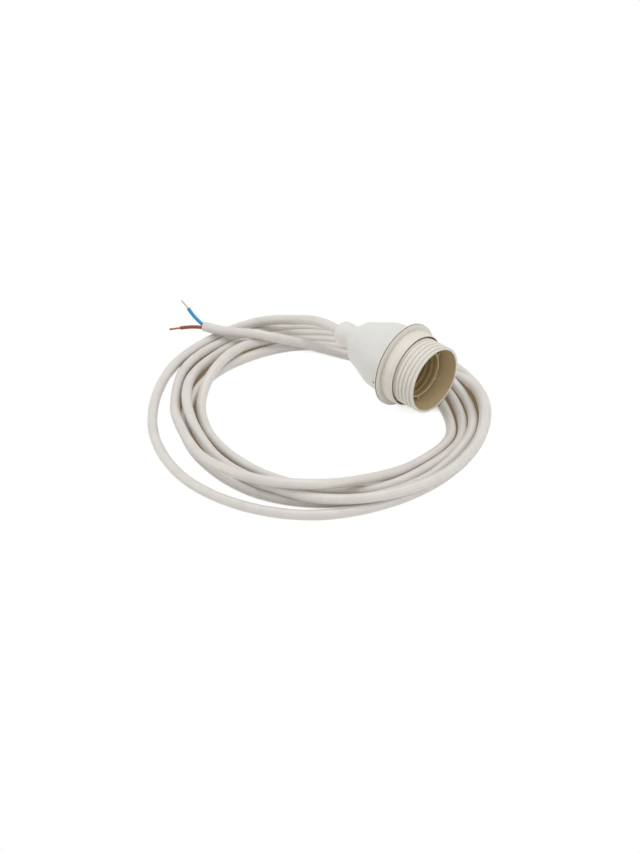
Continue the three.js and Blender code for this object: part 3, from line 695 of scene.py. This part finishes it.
def noise(tree, vector, scale, detail, roughness):
    node = tree.nodes.new("ShaderNodeTexNoise")
    node.inputs["Detail"].default_value = detail
    node.inputs["Roughness"].default_value = roughness
    if isinstance(scale, (int, float)):
        node.inputs["Scale"].default_value = scale
    else:
        tree.links.new(scale, node.inputs["Scale"])
    tree.links.new(vector, node.inputs["Vector"])
    return node.outputs["Fac"]


def maths(tree, operation, first, second, clamp=False):
    node = tree.nodes.new("ShaderNodeMath")
    node.operation = operation
    node.use_clamp = clamp
    for socket, value in zip(node.inputs, (first, second)):
        if isinstance(value, (int, float)):
            socket.default_value = value
        else:
            tree.links.new(value, socket)
    return node.outputs[0]


def share_past(tree, value, start, gain):
    """How far the value lies past a start, times a gain, held between 0 and 1."""
    return maths(tree, "MULTIPLY", maths(tree, "SUBTRACT", value, start, clamp=True), gain, clamp=True)


def plus(tree, base, value, weight, clamp=False):
    return maths(tree, "ADD", base, maths(tree, "MULTIPLY", value, weight), clamp=clamp)


def stretched(tree, vector, scale):
    node = tree.nodes.new("ShaderNodeMapping")
    node.inputs["Scale"].default_value = scale
    tree.links.new(vector, node.inputs["Vector"])
    return node.outputs["Vector"]


def blended(tree, share, first, second):
    """A colour between the first and the second."""
    node = tree.nodes.new("ShaderNodeMix")
    node.data_type = "RGBA"
    for label, value in (("Factor", share), ("A", first), ("B", second)):
        socket = [s for s in node.inputs if s.name == label and s.enabled][0]
        if isinstance(value, (int, float, tuple)):
            socket.default_value = value
        else:
            tree.links.new(value, socket)
    return [s for s in node.outputs if s.enabled][0]


def moulded_surface_group():
    """Injection moulding: slow drift of colour, faint flow clouds, fine grain and a few scuffs."""
    group, given = new_group("Moulded Surface", [
        ("Vector", "NodeSocketVector", None),
        ("Colour", "NodeSocketColor", (0.7, 0.7, 0.7, 1)),
        ("Drift Colour", "NodeSocketColor", (0.6, 0.6, 0.6, 1)),
        ("Drift Scale", "NodeSocketFloat", 60.0),
        ("Drift", "NodeSocketFloat", 0.5),
        ("Grain Scale", "NodeSocketFloat", 2600.0),
        ("Roughness", "NodeSocketFloat", 0.42),
    ])
    clouds = noise(group, given["Vector"], given["Drift Scale"], 4, 0.55)
    share = maths(group, "MULTIPLY", share_past(group, clouds, 0.32, 2.2), given["Drift"], clamp=True)
    colour = blended(group, share, given["Colour"], given["Drift Colour"])
    scuffs = share_past(group, noise(group, given["Vector"], 420.0, 6, 0.7), 0.56, 3.0)
    rough = plus(group, given["Roughness"], scuffs, 0.22, clamp=True)
    rough = plus(group, rough, clouds, 0.06, clamp=True)
    grain = noise(group, given["Vector"], given["Grain Scale"], 2, 0.5)
    height = plus(group, maths(group, "MULTIPLY", grain, 0.5), clouds, 1.2)
    give_out(group, colour, rough, height)
    return group


def drawn_covering_group():
    """Extruded covering: fine draw lines along the run, slow cloudiness and a few pressed spots."""
    group, given = new_group("Drawn Covering", [
        ("Vector", "NodeSocketVector", None),
        ("Colour", "NodeSocketColor", (0.7, 0.7, 0.7, 1)),
        ("Drift Colour", "NodeSocketColor", (0.6, 0.6, 0.6, 1)),
        ("Line Scale", "NodeSocketFloat", 2200.0),
        ("Roughness", "NodeSocketFloat", 0.42),
    ])
    drawn = stretched(group, given["Vector"], (0.04, 1.0, 1.0))
    lines = noise(group, drawn, given["Line Scale"], 3, 0.6)
    clouds = noise(group, given["Vector"], 90.0, 4, 0.6)
    pressed = share_past(group, noise(group, given["Vector"], 330.0, 3, 0.5), 0.55, 3.0)
    colour = blended(group, share_past(group, clouds, 0.35, 2.4), given["Colour"], given["Drift Colour"])
    rough = plus(group, given["Roughness"], lines, 0.1, clamp=True)
    rough = plus(group, rough, pressed, 0.15, clamp=True)
    height = plus(group, maths(group, "MULTIPLY", lines, 0.5), pressed, -0.8)
    height = plus(group, height, clouds, 1.5)
    give_out(group, colour, rough, height)
    return group


def worked_metal_group():
    """Small metal parts: rolling lines, darker tarnish clouds and light rubbing."""
    group, given = new_group("Worked Metal", [
        ("Vector", "NodeSocketVector", None),
        ("Colour", "NodeSocketColor", (0.7, 0.5, 0.3, 1)),
        ("Tarnish", "NodeSocketColor", (0.4, 0.25, 0.12, 1)),
        ("Roughness", "NodeSocketFloat", 0.3),
    ])
    lines = noise(group, stretched(group, given["Vector"], (1.0, 0.1, 1.0)), 3000.0, 2, 0.5)
    clouds = noise(group, given["Vector"], 300.0, 5, 0.6)
    share = share_past(group, clouds, 0.42, 3.0)
    colour = blended(group, share, given["Colour"], given["Tarnish"])
    rough = plus(group, given["Roughness"], share, 0.25, clamp=True)
    rough = plus(group, rough, lines, 0.08, clamp=True)
    give_out(group, colour, rough, lines)
    return group


MOULDED = moulded_surface_group()
DRAWN = drawn_covering_group()
WORKED = worked_metal_group()


def new_finish(name, group, values, bump, metallic=0.0, specular=0.5, coordinates="Object"):
    """A finish: one surface group feeding one Principled shader. bump is the relief's depth in mm."""
    material = bpy.data.materials.new(name)
    material.use_nodes = True
    tree = material.node_tree
    tree.nodes.clear()
    output = tree.nodes.new("ShaderNodeOutputMaterial")
    shader = tree.nodes.new("ShaderNodeBsdfPrincipled")
    tree.links.new(shader.outputs["BSDF"], output.inputs["Surface"])
    surface = tree.nodes.new("ShaderNodeGroup")
    surface.node_tree = group
    for label, value in values.items():
        surface.inputs[label].default_value = value
    if coordinates == "Object":
        place = tree.nodes.new("ShaderNodeTexCoord")
        tree.links.new(place.outputs["Object"], surface.inputs["Vector"])
    else:
        place = tree.nodes.new("ShaderNodeUVMap")
        place.uv_map = coordinates
        tree.links.new(place.outputs["UV"], surface.inputs["Vector"])
    relief = tree.nodes.new("ShaderNodeBump")
    relief.inputs["Strength"].default_value = 1.0
    relief.inputs["Distance"].default_value = bump * MM
    tree.links.new(surface.outputs["Height"], relief.inputs["Height"])
    tree.links.new(surface.outputs["Colour"], shader.inputs["Base Color"])
    tree.links.new(surface.outputs["Roughness"], shader.inputs["Roughness"])
    tree.links.new(relief.outputs["Normal"], shader.inputs["Normal"])
    shader.inputs["Metallic"].default_value = metallic
    shader.inputs["Specular IOR Level"].default_value = specular
    return material


cool_white = new_finish("cool white moulding", MOULDED, {
    "Colour": srgb(224, 223, 218), "Drift Colour": srgb(218, 218, 213),
    "Drift Scale": 55.0, "Drift": 0.7, "Roughness": 0.4,
}, bump=0.012)
nut_white = new_finish("cool white moulding, handled", MOULDED, {
    "Colour": srgb(228, 224, 218), "Drift Colour": srgb(220, 216, 212),
    "Drift Scale": 110.0, "Drift": 0.8, "Roughness": 0.46,
}, bump=0.02)
warm_ivory = new_finish("warm ivory moulding", MOULDED, {
    "Colour": srgb(225, 220, 211), "Drift Colour": srgb(219, 216, 205),
    "Drift Scale": 70.0, "Drift": 0.8, "Roughness": 0.38,
}, bump=0.012)
# Painted shade: a darker, yellower ivory stands in for the shade and warm bounce light inside the mouth
ivory_with_painted_shade = new_finish("ivory moulding, painted shade inside", MOULDED, {
    "Colour": srgb(207, 187, 146), "Drift Colour": srgb(197, 178, 139),
    "Drift Scale": 90.0, "Drift": 0.8, "Roughness": 0.55,
}, bump=0.02)
# Painted shade: a still darker ivory stands in for the deeper shade behind the sleeve's lip
ivory_with_painted_deep_shade = new_finish("ivory moulding, painted deep shade inside", MOULDED, {
    "Colour": srgb(178, 158, 116), "Drift Colour": srgb(166, 146, 106),
    "Drift Scale": 90.0, "Drift": 0.8, "Roughness": 0.6,
}, bump=0.02)
# Painted shade: a dark brown ivory for the shade ring's narrow gaps, standing in for the shade there
gap_painted_shade_finish = new_finish("ivory moulding, painted shade in a narrow gap", MOULDED, {
    "Colour": srgb(122, 98, 60), "Drift Colour": srgb(108, 86, 52),
    "Drift Scale": 90.0, "Drift": 0.8, "Roughness": 0.6,
}, bump=0.02)
insulator = new_finish("insulating moulding", MOULDED, {
    "Colour": srgb(214, 206, 186), "Drift Colour": srgb(203, 195, 174),
    "Drift Scale": 120.0, "Drift": 0.8, "Roughness": 0.6,
}, bump=0.03)
ivory_sheath = new_finish("ivory sheath", DRAWN, {
    "Colour": srgb(219, 215, 209), "Drift Colour": srgb(210, 205, 198),
    "Line Scale": 2400.0, "Roughness": 0.33,
}, bump=0.03, specular=0.6, coordinates="run_and_round")
blue_cover = new_finish("blue core covering", DRAWN, {
    "Colour": srgb(44, 160, 210), "Drift Colour": srgb(34, 138, 194),
    "Line Scale": 4200.0, "Roughness": 0.32,
}, bump=0.02, coordinates="run_and_round")
brown_cover = new_finish("brown core covering", DRAWN, {
    "Colour": srgb(148, 76, 42), "Drift Colour": srgb(126, 62, 34),
    "Line Scale": 4200.0, "Roughness": 0.34,
}, bump=0.02, coordinates="run_and_round")
copper = new_finish("bare copper", WORKED, {
    "Colour": srgb(196, 118, 82), "Tarnish": srgb(160, 88, 56), "Roughness": 0.34,
}, metallic=0.9, bump=0.01)
# Painted highlight: near-white copper with little metal stands in for the glint on the blue core's
# strands
copper_with_painted_glint = new_finish("bare copper, painted glint", WORKED, {
    "Colour": srgb(253, 236, 222), "Tarnish": srgb(246, 214, 190), "Roughness": 0.42,
}, metallic=0.15, bump=0.01)
contact_brass = new_finish("contact brass", WORKED, {
    "Colour": srgb(214, 184, 120), "Tarnish": srgb(160, 126, 70), "Roughness": 0.28,
}, metallic=1.0, bump=0.01)
plated_steel = new_finish("plated steel", WORKED, {
    "Colour": srgb(206, 208, 210), "Tarnish": srgb(160, 162, 164), "Roughness": 0.3,
}, metallic=1.0, bump=0.01)
plain_blue = new_finish("blue core covering inside", MOULDED, {
    "Colour": srgb(30, 122, 178), "Drift Colour": srgb(22, 104, 160), "Roughness": 0.35,
}, bump=0.01)
plain_brown = new_finish("brown core covering inside", MOULDED, {
    "Colour": srgb(140, 72, 44), "Drift Colour": srgb(120, 58, 34), "Roughness": 0.35,
}, bump=0.01)
SLOT_FINISHES = {
    "white_plastic": cool_white,
    "ivory_plastic": warm_ivory,
    "insulator": insulator,
    "ivory_sheath": ivory_sheath,
    "contact_brass": contact_brass,
    "plated_steel": plated_steel,
    "blue_insulation": blue_cover,
    "brown_insulation": brown_cover,
    "copper_strands": copper,
    "pale_copper_strands": copper_with_painted_glint,
}
# Pieces that keep their solid, because the dome closes them in
KEPT_FINISHES = {
    "cord_grip_collet": insulator,
    "inner_brown_core": plain_brown,
    "inner_brown_copper": copper,
    "inner_blue_core": plain_blue,
    "inner_blue_copper": copper,
}


def give_finish(piece, finish):
    piece.data.materials.clear()
    piece.data.materials.append(finish)


def give_second_finish(piece, finish, test):
    """Gives the faces that the test picks another finish."""
    piece.data.materials.append(finish)
    index = len(piece.data.materials) - 1
    for face in piece.data.polygons:
        if test(face):
            face.material_index = index


def back_and_radius(face):
    """Where a face's middle lies: its distance behind the mouth and from the holder's axis."""
    radius = math.hypot(face.center.y, face.center.z - AXIS_HEIGHT * MM) / MM
    return MOUTH_X - face.center.x / MM, radius


def inside_barrel(face):
    outward = Vector((0, face.center.y, face.center.z - AXIS_HEIGHT * MM))
    return face.normal.dot(outward.normalized()) < -0.3 or outward.length < 17.5 * MM


def at_sleeve_lip(face):
    return face.center.x > along(SLEEVE_LIP + 0.8)


def behind_sleeve_lip(face):
    return not at_sleeve_lip(face)


def painted_gap_shade(face):
    """The ring's bore and the narrow groove in the flange's rim, where a darker line of painted shade
    stands in for the shade in these gaps.
    """
    back, radius = back_and_radius(face)
    in_rim_groove = RIM_GROOVE_FRONT - 0.02 < back < RIM_GROOVE_BACK + 0.02
    return radius < 21.1 or (in_rim_groove and 24.0 < radius < 24.99)


# ---------------------------------------------------------------- what stands for what
# Each visible piece, the body it moves with, the solids it stands for, and its slot
STANDING = [
    (skirt, "holder", ["skirt"], "ivory_plastic"),
    (sleeve, "holder", ["screw_sleeve"], "ivory_plastic"),
    (shade_ring, "ring", ["shade_ring"], "ivory_plastic"),
    (dome, "holder", ["dome"], "white_plastic"),
    (grip_nut, "holder", ["cord_grip_nut"], "white_plastic"),
    (flex, "holder", ["cord"], "ivory_sheath"),
    (blue_lead, "holder", ["blue_core"], "blue_insulation"),
    (brown_lead, "holder", ["brown_core"], "brown_insulation"),
    (blue_strands, "holder", ["blue_core_copper"], "pale_copper_strands"),
    (brown_strands, "holder", ["brown_core_copper"], "copper_strands"),
    *[(inner[node], "holder", [node], slot) for node, width, slot in INNER_PIECES],
]
for piece, body, stood_for, slot in STANDING:
    give_finish(piece, SLOT_FINISHES[slot])
    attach(piece, body)
    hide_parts(*stood_for)
for node, finish in KEPT_FINISHES.items():
    give_finish(nodes[node], finish)
grip_nut.data.materials[0] = nut_white
# Painted shade: the barrel's inside and the sleeve get the darker ivories that stand in for the shade
# deep in the mouth
give_second_finish(skirt, ivory_with_painted_shade, inside_barrel)
give_second_finish(sleeve, ivory_with_painted_shade, at_sleeve_lip)
give_second_finish(sleeve, ivory_with_painted_deep_shade, behind_sleeve_lip)
give_second_finish(shade_ring, gap_painted_shade_finish, painted_gap_shade)


# ---------------------------------------------------------------- stage
PAPER_WHITE = (1.0, 1.0, 1.0, 1.0)
PAPER_BOUNCE = (0.88, 0.88, 0.875, 1.0)   # what open paper gives back as light
SHADE_BOUNCE = srgb(170, 148, 120)        # what covered paper gives back
SHADE_REACH = 0.03                        # metres over which pieces shade the paper


def lit_and_seen(tree, lit, seen):
    """One shader for the light that a surface gives, and another for how it looks to the camera."""
    rays = tree.nodes.new("ShaderNodeLightPath")
    looked_at = maths(tree, "MAXIMUM", rays.outputs["Is Camera Ray"], rays.outputs["Is Glossy Ray"])
    looked_at = maths(tree, "MAXIMUM", looked_at, rays.outputs["Is Transmission Ray"])
    mixed = tree.nodes.new("ShaderNodeMixShader")
    tree.links.new(looked_at, mixed.inputs["Fac"])
    tree.links.new(lit, mixed.inputs[1])
    tree.links.new(seen, mixed.inputs[2])
    return mixed.outputs["Shader"]


def paper_finish(name, shade, closed, opened):
    """White paper, shaded where pieces close over it: fully at closed and not at opened, of open sky."""
    material = bpy.data.materials.new(name)
    material.use_nodes = True
    tree = material.node_tree
    tree.nodes.clear()
    output = tree.nodes.new("ShaderNodeOutputMaterial")
    sky = tree.nodes.new("ShaderNodeAmbientOcclusion")
    sky.samples = 16
    sky.inputs["Distance"].default_value = SHADE_REACH
    open_share = maths(tree, "SUBTRACT", sky.outputs["AO"], closed)
    open_share = maths(tree, "MULTIPLY", open_share, 1 / (opened - closed), clamp=True)
    plain = tree.nodes.new("ShaderNodeBsdfDiffuse")
    tree.links.new(blended(tree, open_share, SHADE_BOUNCE, PAPER_BOUNCE), plain.inputs["Color"])
    glow = tree.nodes.new("ShaderNodeEmission")
    tree.links.new(blended(tree, open_share, shade, PAPER_WHITE), glow.inputs["Color"])
    shader = lit_and_seen(tree, plain.outputs["BSDF"], glow.outputs["Emission"])
    tree.links.new(shader, output.inputs["Surface"])
    return material


def laid_on_paper(point):
    """Where a point of the flex hides the paper, seen from the camera's side."""
    turn = math.radians(PHOTO_AZIMUTH)
    away = Vector((-math.sin(turn), math.cos(turn), 0))
    return Vector((point.x, point.y, 0)) + away * point.z / math.tan(math.radians(PHOTO_ELEVATION))


def strands_across(degrees, path, highest=math.inf):
    """Radii at which strands up to a height cross this direction from the coil's centre, in order."""
    turn = math.radians(degrees)
    line = Vector((math.cos(turn), math.sin(turn), 0))
    centre = Vector((*COIL_CENTRE, 0))
    found = []
    for a, b in zip(path, path[1:]):
        side_a = line.x * (a - centre).y - line.y * (a - centre).x
        side_b = line.x * (b - centre).y - line.y * (b - centre).x
        if side_a * side_b <= 0 and (a - centre).dot(line) > 0 and a.z <= highest:
            found.append((a - centre).dot(line))
    return sorted(found)


def evened(radii, reach):
    """Each radius round the coil as the middle one of its neighbours, so that none leaves a tooth."""
    count = len(radii)
    near = range(-reach, reach + 1)
    return [sorted(radii[(i + j) % count] for j in near)[reach] for i in range(count)]


SHADE_STEPS = 360
COIL_FROM = len(NECK_ROUTE) + len(DESCENT)   # points of the route before the coil
COIL_TO = len(BARE_END)                      # points of the route after it
PAPER_GAP_OPENS = -0.5             # past this gap the outermost strand shows white paper beside it
FLOOR_HEIGHT = -0.0002             # metres
SHADED_HEIGHT = -0.0001


def shaded_paper_edges():
    """Inner and outer radius, at each step round the coil, of the paper that the turns shade."""
    coiled = flex_path[COIL_FROM * ROUTE_STEPS:-COIL_TO * ROUTE_STEPS]
    hiding = [laid_on_paper(p) for p in coiled]
    rise = math.radians(PHOTO_ELEVATION)
    inner_edge, outer_edge = [], []
    for step in range(SHADE_STEPS):
        turn = math.radians(360 * step / SHADE_STEPS)
        strands = strands_across(360 * step / SHADE_STEPS, hiding)
        # half of a strand's breadth on the paper, as it hides it, in this direction
        slant = abs(math.sin(turn - math.radians(PHOTO_AZIMUTH)))
        breadth = FLEX_RADIUS * (1 + slant * (1 / math.sin(rise) - 1))
        if strands[-1] - strands[-2] > 2 * breadth + PAPER_GAP_OPENS:
            strands.pop()
        # the edge lies under a strand that rests on the paper, which hides it from every side
        shift = math.sin(math.radians(PHOTO_AZIMUTH) - turn) * LAID / math.tan(rise)
        lying = [r for r in strands_across(360 * step / SHADE_STEPS, coiled, LAID + 1)
                 if r - shift < strands[-1] + 1]
        inner_edge.append(strands[0])
        outer_edge.append(max(min(strands[-1], lying[-1]), strands[0] + 1))
    return evened(inner_edge, 3), evened(outer_edge, 6)


def add_paper():
    bpy.ops.object.select_all(action="DESELECT")
    bpy.ops.mesh.primitive_plane_add(size=12, location=(0, 0, FLOOR_HEIGHT))
    floor = bpy.context.object
    floor.name = "floor"
    floor.data.materials.append(
        paper_finish("white paper", srgb(176, 168, 154), closed=0.0, opened=0.16))
    # under the bundle of turns a sheet of painted shade shows brown between the strands
    mesh = bmesh.new()
    rings = []
    for step, edges in enumerate(zip(*shaded_paper_edges())):
        spots = [on_coil(360 * step / SHADE_STEPS, radius, 0) * MM for radius in edges]
        rings.append([mesh.verts.new((spot.x, spot.y, SHADED_HEIGHT)) for spot in spots])
    for (near, far), (next_near, next_far) in zip(rings, rings[1:] + rings[:1]):
        mesh.faces.new((near, far, next_far, next_near))
    bmesh.ops.recalc_face_normals(mesh, faces=mesh.faces)
    under = object_from(mesh, "painted_shade_under_turns")
    under.data.materials.append(
        paper_finish("painted shade between the turns", srgb(120, 103, 78), closed=0.3, opened=0.9))


def add_world():
    world = bpy.data.worlds.new("studio")
    bpy.context.scene.world = world
    world.use_nodes = True
    tree = world.node_tree
    tree.nodes.clear()
    output = tree.nodes.new("ShaderNodeOutputWorld")
    soft = tree.nodes.new("ShaderNodeBackground")
    soft.inputs["Color"].default_value = (1.0, 0.998, 0.994, 1)
    soft.inputs["Strength"].default_value = 0.6
    white = tree.nodes.new("ShaderNodeBackground")
    white.inputs["Color"].default_value = (1, 1, 1, 1)
    shader = lit_and_seen(tree, soft.outputs["Background"], white.outputs["Background"])
    tree.links.new(shader, output.inputs["Surface"])


LAMPS_AIM = Vector((0, -0.04, 0))


def add_lamp(name, place, size, power):
    data = bpy.data.lights.new(name, "AREA")
    data.shape = "DISK"
    data.size = size
    data.energy = power
    lamp = bpy.data.objects.new(name, data)
    bpy.context.scene.collection.objects.link(lamp)
    lamp.location = place
    lamp.rotation_euler = (LAMPS_AIM - Vector(place)).to_track_quat("-Z", "Y").to_euler()


add_paper()
add_world()
add_lamp("key", (-0.25, 0.3, 2.0), size=2.0, power=16.5)
add_lamp("front_fill", (1.8, 0.1, 0.75), size=1.2, power=6.5)
add_lamp("left_fill", (-1.3, -1.45, 0.6), size=1.2, power=6)
bpy.context.scene.view_settings.view_transform = "Standard"
